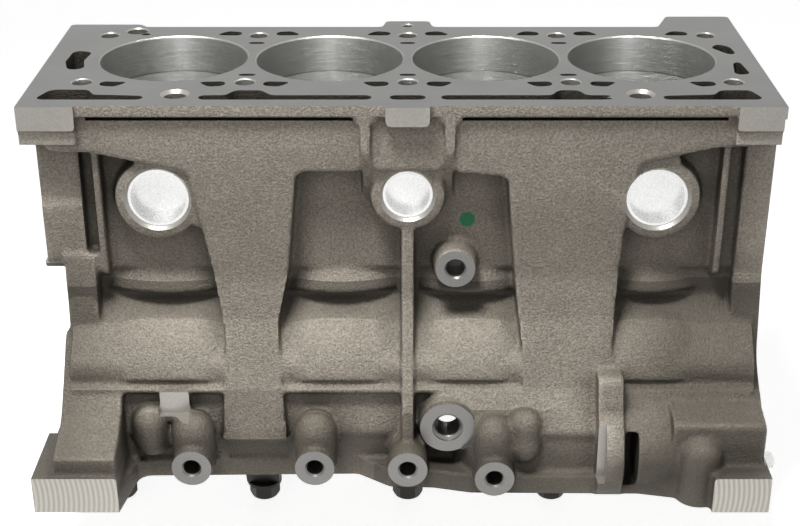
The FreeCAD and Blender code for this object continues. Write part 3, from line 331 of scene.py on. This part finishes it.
def turned(bm, profile, place, out, steps=48, finish=milled):
    """A solid of revolution in millimetres: profile (radius, height), with its height measured out from place."""
    verts = [bm.verts.new((radius * mm, 0, height * mm)) for radius, height in profile]
    edges = [bm.edges.new(pair) for pair in zip(verts, verts[1:] + verts[:1])]
    before = set(bm.faces)
    bmesh.ops.spin(bm, geom=verts + edges, axis=(0, 0, 1), cent=(0, 0, 0), angle=2 * math.pi, steps=steps,
                   use_merge=True)
    corners = {vert: None for face in bm.faces if face not in before for vert in face.verts}
    bmesh.ops.remove_doubles(bm, verts=list(corners), dist=1e-6)
    faces = [face for face in bm.faces if face not in before]
    for face in faces:
        face.material_index = finish
    bmesh.ops.recalc_face_normals(bm, faces=faces)
    corners = {vert: None for face in faces for vert in face.verts}
    turn = Vector((0, 0, 1)).rotation_difference(Vector(out)).to_matrix().to_4x4()
    move = Matrix.Translation([value * mm for value in place])
    bmesh.ops.transform(bm, matrix=move @ turn, verts=list(corners))


def bar(bm, radius, start, end, steps, finish):
    """A round bar between two points, in millimetres."""
    along = Vector(end) - Vector(start)
    turned(bm, [(0, 0), (radius, 0), (radius, along.length), (0, along.length)], start, along, steps, finish)


def block(bm, x, y, z, finish=milled):
    """A rectangular block between two values on each axis, in millimetres."""
    middle = [(low + high) * mm / 2 for low, high in (x, y, z)]
    spans = [(high - low) * mm for low, high in (x, y, z)]
    made = bmesh.ops.create_cube(bm, size=1, matrix=Matrix.Translation(middle) @ Matrix.Diagonal((*spans, 1)))
    for face in {face for vert in made["verts"] for face in vert.link_faces}:
        face.material_index = finish


def add_stock(bm, out, place, amount):
    """Thickens the flat faces that look out at place, by the machining allowance that the cuts take off."""
    out = Vector(out)
    chosen = [face for face in bm.faces if face.normal.dot(out) > 0.999
              and abs(face.calc_center_median().dot(out) - place) < 2e-5]
    made = bmesh.ops.extrude_face_region(bm, geom=chosen)
    bmesh.ops.delete(bm, geom=[face for face in chosen if face.is_valid], context="FACES")
    raised = [vert for vert in made["geom"] if isinstance(vert, bmesh.types.BMVert)]
    bmesh.ops.translate(bm, verts=raised, vec=out * amount)


def finished(bm, name):
    """Turns a bmesh into a piece in the casting's finishes."""
    mesh = bpy.data.meshes.new(name)
    bm.to_mesh(mesh)
    bm.free()
    for material in finishes:
        mesh.materials.append(material)
    piece = bpy.data.objects.new(name, mesh)
    bpy.context.scene.collection.objects.link(piece)
    return piece


def bake_modifiers(piece):
    """Turns a piece with modifiers into its plain finished mesh."""
    graph = bpy.context.evaluated_depsgraph_get()
    piece.data = bpy.data.meshes.new_from_object(piece.evaluated_get(graph))
    piece.modifiers.clear()


# The rough casting: the solid with machining allowance on every face that is cut. The filler holds more metal: a
# little where the tops of the middle ribs meet the deck flange, and bars that close the holes to be machined.
allowance = 4 * mm
blank = bmesh.new()
blank.from_mesh(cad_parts["cylinder_block"].data)
bmesh.ops.remove_doubles(blank, verts=blank.verts, dist=2e-6)
machined_faces = [
    ((0, 0, 1), [deck]),
    ((0, 0, -1), [-rail]),
    ((0, -1, 0), [feet, corner_pads, centre_pad, side_bosses, last_side_boss, return_boss, knock_boss,
                  ground_patch]),
    ((0, 1, 0), [mount_bosses, filter_pad, drain_boss]),
    ((-1, 0, 0), [-starter_plate, -timing_end, -timing_face]),
    ((1, 0, 0), [gearbox_end, gearbox_face])]
for out, places in machined_faces:
    for place in places:
        add_stock(blank, out, place * mm, allowance)
filler = bmesh.new()
for x in (-22, 22):
    block(filler, (x - 6, x + 6), (-81.5, -70), (200, 205), cast)


# The cuts, in the order of the machine shop. Each cutter is one tool with one cut, and forms that would overlap
# are given to different ones. Holes are cast too rough to keep, so they are filled and then cut again.
cutters = []


def new_cutter():
    """An empty tool for the next cut."""
    cutters.append(bmesh.new())
    return cutters[-1]


def machine(cutter, places, out, profile, fill, steps=40, fill_steps=16, finish=milled):
    """Fills rough cast holes with a bar of fill (radius, bottom, top) and cuts them again to the profile."""
    radius, bottom, top = fill
    for place in places:
        ends = [[value + way * height for value, way in zip(place, out)] for height in (bottom, top)]
        bar(filler, radius, *ends, fill_steps, cast)
        turned(cutter, profile, place, out, steps, finish)


def hole(radius, depth, chamfer, face=0.0, rise=3):
    """The profile of a drilled hole with a chamfered mouth, and round it a faced ring if one is asked for."""
    mouth = [(radius + chamfer, 0), (radius, -chamfer), (radius, -depth), (0, -depth)]
    return [(0, rise), (max(face, radius + chamfer), rise)] + ([(face, 0)] if face else []) + mouth


# The flat faces. Each row is one cutter, and each block the metal that it takes away between two values on the
# three axes, with the finish that it leaves.
beyond, everywhere = 500, (-500, 500)
flat_cuts = [
    # the deck, ground, and the pan rail
    [(everywhere, everywhere, (deck, deck + 100), ground),
     (everywhere, everywhere, (rail - 100, rail), milled)],
    # the timing end and the gearbox end
    [((-beyond, timing_end), everywhere, everywhere, milled),
     ((gearbox_end, beyond), everywhere, everywhere, milled)],
    # the scored feet, the two corner pads and the centre pad
    [(everywhere, (-beyond, -feet), (-beyond, 60), scored),
     ((-beyond, -172.6), (-beyond, -corner_pads), (196.6, beyond), milled),
     ((171.1, beyond), (-beyond, -corner_pads), (196.6, beyond), milled),
     ((-12, 12), (-beyond, -centre_pad), (190, beyond), milled)],
    # the ground patch, and the faces set back in both ends
    [((-137, -120), (-120, -ground_patch), (38, 53), milled),
     ((-206, timing_face), (-75, 68), (113, 203.3), milled),
     ((gearbox_face, 201), (-134, 110), (17.6, 203.3), milled)],
    # the lower end of the gearbox face, and the starter plate
    [((gearbox_face, 201), (-88, 110), (7.2, 19), milled),
     ((100, starter_plate), (-136, -118.7), (7.6, 66), milled)],
    # the groove under the deck flange, above the raised sheets, as cast
    [((-168, -28.5), (-90, -75), (200.9, 203.2), cast),
     ((28.5, 167), (-90, -75), (200.9, 203.2), cast)]]
for blocks in flat_cuts:
    cutter = new_cutter()
    for x, y, z, finish in blocks:
        block(cutter, x, y, z, finish)

# The deck's head bolt holes, oil drains, drillings and bores. The bores' walls are honed.
up, down, near, far, timing, gearbox = (0, 0, 1), (0, 0, -1), (0, -1, 0), (0, 1, 0), (-1, 0, 0), (1, 0, 0)
cutter = new_cutter()
machine(cutter, [(x, y, deck) for x in mains for y in (-43, 43)], up, hole(5.25, 60, 0.7), (6.6, -61, 3), 32)
machine(cutter, [(-123, -63, deck), (123, -63, deck)], up, hole(6, 50, 1.8), (8, -51, 3))
machine(cutter, [(-161, 51.5, deck)], up, hole(6, 28, 0.8), (7.4, -29, 3))
machine(cutter, [(0, 63, deck)], up, hole(3, 18, 0.6), (4.4, -19, 3))
chamfered = bore_radius + 0.75
bore = [(0, 10), (chamfered, 10), (chamfered, 0), (bore_radius, -0.8), (bore_radius, -140), (0, -140)]
machine(cutter, [(x, 0, deck) for x in bores], up, bore, (42.6, -131, 4), 128, 64)
for face in cutter.faces:
    x, y, _ = face.calc_center_median() / mm
    nearest = min(bores, key=lambda bore_x: abs(bore_x - x))
    if math.hypot(x - nearest, y) > 40:
        face.material_index = honed if abs(y) < 42 else milled

# The threads of the side bosses and the knock boss, the oil return's seat, the core plugs' seats on all four
# sides, and on the far side the filter pad, the engine mount's threads and the drain plug's hole.
cutter = new_cutter()
boss_threads = [(-118.5, -side_bosses, 14.5), (-51, -side_bosses, 14.5), (0, -side_bosses, 13.5),
                (47.6, -last_side_boss, 9.5)]
machine(cutter, boss_threads, near, hole(4.5, 26, 1.0, 12.5, 8), (6, -27, 3), finish=faced)
machine(cutter, [(26, -knock_boss, 115.5)], near, hole(5, 14, 1.0, 13, 8), (6.5, -15, 3), finish=faced)
return_seat = [(0, 8), (15.4, 8), (15.4, 0), (8.6, 0), (8.6, -1.2), (7, -2), (6.6, -2.6), (6.6, -40), (0, -40)]
machine(cutter, [(22, -return_boss, 32)], near, return_seat, (10, -16, 3), finish=faced)
plug_seats = [
    ((-plug_offset, -near_seats, plug_height), near, 16.5, 17.5),
    ((0, -near_seats, centre_plug_height), near, 13.5, 17.5),
    ((plug_offset, -near_seats, plug_height), near, 16.5, 17.5),
    ((-plug_offset, far_seats, plug_height), far, 16.5, 12.5),
    ((0, far_seats, plug_height), far, 16.5, 12.5),
    ((plug_offset, far_seats, plug_height), far, 16.5, 12.5),
    ((timing_face, 0, plug_height), timing, 16.5, 13.7),
    ((gearbox_face, 0, plug_height), gearbox, 16.5, 12.2)]
for place, out, radius, depth in plug_seats:
    mouth = radius + 1.6
    seat = [(0, 6), (mouth, 6), (mouth, 0), (radius, -1.6), (radius, -depth), (0, -depth)]
    machine(cutter, [place], out, seat, (radius + 2.5, 1 - depth, 0.5), 64, 32)
machine(cutter, [(-44, filter_pad, 45)], far, hole(9, 14, 1.0, 39, 6), (10.6, -15, 3), 64)
mount_threads = [(x, mount_bosses, z) for x in (36, 136) for z in (76, 20)]
machine(cutter, mount_threads, far, hole(4.25, 22, 0.8, 12, 5), (5.8, -23, 3))
machine(cutter, [(118, drain_boss, 124)], far, hole(7.02, 20, 0.6, 13.5, 6), (8.4, -12, 3))

# The crank's tunnel through the five bulkheads, bored in line.
cutter = new_cutter()
for x in mains:
    bar(filler, 31.2, (x - bulkhead_half, 0, 0), (x + bulkhead_half, 0, 0), 48, cast)
bar(cutter, tunnel_radius, (-220, 0, 0), (220, 0, 0), 96, honed)

# The pan's threads in the rail, the threads of both ends, the gearbox dowels and the oil gallery's two plugs.
cutter = new_cutter()
rail_threads = [(x, y, rail) for main in mains for x in (main - 22, main + 22) for y in (-91.5, 88.5)
                if abs(x) < 180]
machine(cutter, rail_threads, down, hole(3.4, 16, 0.6), (4.8, -17, 3), 24)
timing_threads = [(timing_face, y, z) for y in (-64, 60) for z in (190, 157.5, 125)]
timing_threads += [(-188, y, z) for y in (-82, 80) for z in (50, 20)]
machine(cutter, timing_threads, timing, hole(3.4, 14, 0.6), (4.8, -15, 0), 24)
gearbox_threads = [(gearbox_face, y, z) for y in (-60, 86) for z in (180, 110)]
gearbox_threads += [(gearbox_face, -108, 24), (gearbox_face, 98, 24)]
machine(cutter, gearbox_threads, gearbox, hole(4.25, 15, 0.8), (5.8, -16, 2), 24)
dowel_holes = [(gearbox_face, -104, 6), (gearbox_face, 98, 6)]
machine(cutter, dowel_holes, gearbox, hole(7.04, 9, 0.5), (7.5, -9.5, 1), 32)
for x, out in ((timing_face, timing), (gearbox_face, gearbox)):
    machine(cutter, [(x, gallery_far, gallery_height)], out, hole(9.02, 14, 0.5, rise=1), (10, -15, 0), 32)


# The mould and the machine shop: filler and blank are fused and softened as sand leaves them, thinned to a fair
# number of triangles, and then cut by each cutter in turn. Only the machined edges stay sharp.
casting_triangles = 150000
metal = bpy.data.meshes.new("filler_metal")
filler.to_mesh(metal)
filler.free()
blank.from_mesh(metal)
casting = finished(blank, "cylinder_block_casting")
mould = casting.modifiers.new("mould", "REMESH")
mould.mode = "VOXEL"
mould.voxel_size = 1.3 * mm
soften = casting.modifiers.new("soften", "SMOOTH")
soften.factor, soften.iterations = 0.5, 3
bake_modifiers(casting)
thin = casting.modifiers.new("thin", "DECIMATE")
thin.ratio = casting_triangles / (2 * len(casting.data.polygons))
tools = [finished(bm, f"cutter_{number}") for number, bm in enumerate(cutters)]
for tool in tools:
    cut = casting.modifiers.new("machining", "BOOLEAN")
    cut.operation, cut.object, cut.solver = "DIFFERENCE", tool, "MANIFOLD"
bake_modifiers(casting)
for tool in tools:
    bpy.data.objects.remove(tool)
casting.data.shade_smooth()
casting.data.set_sharp_from_angle(angle=math.radians(38))
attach(casting, "root")
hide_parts("cylinder_block")


def give_finish(word, material):
    """Gives a material to every solid with the word in its name."""
    for name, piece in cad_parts.items():
        if word in name:
            for spot in piece.material_slots:
                spot.material = material


# The main bearing caps: dark cast iron, each drawn up to its bulkhead by two flanged bolts with locating sleeves
# round them. Their lower ends and bolt heads show under the pan rail.
dark_iron = machined_iron("dark_cap_iron", (0.045, 0.043, 0.04), 0.5, 500.0, 0.6)
give_finish("main_", dark_iron)


# The core plugs: bright steel cups, pressed into the water jacket's seats. The gallery plugs and the drain plug
# are screwed in and the hollow dowels pressed in, all of the same bright steel.
bright_steel = machined_iron("pressed_steel", (0.93, 0.93, 0.92), 0.26, 800.0, 0.9)
give_finish("plug", bright_steel)
give_finish("dowel", bright_steel)
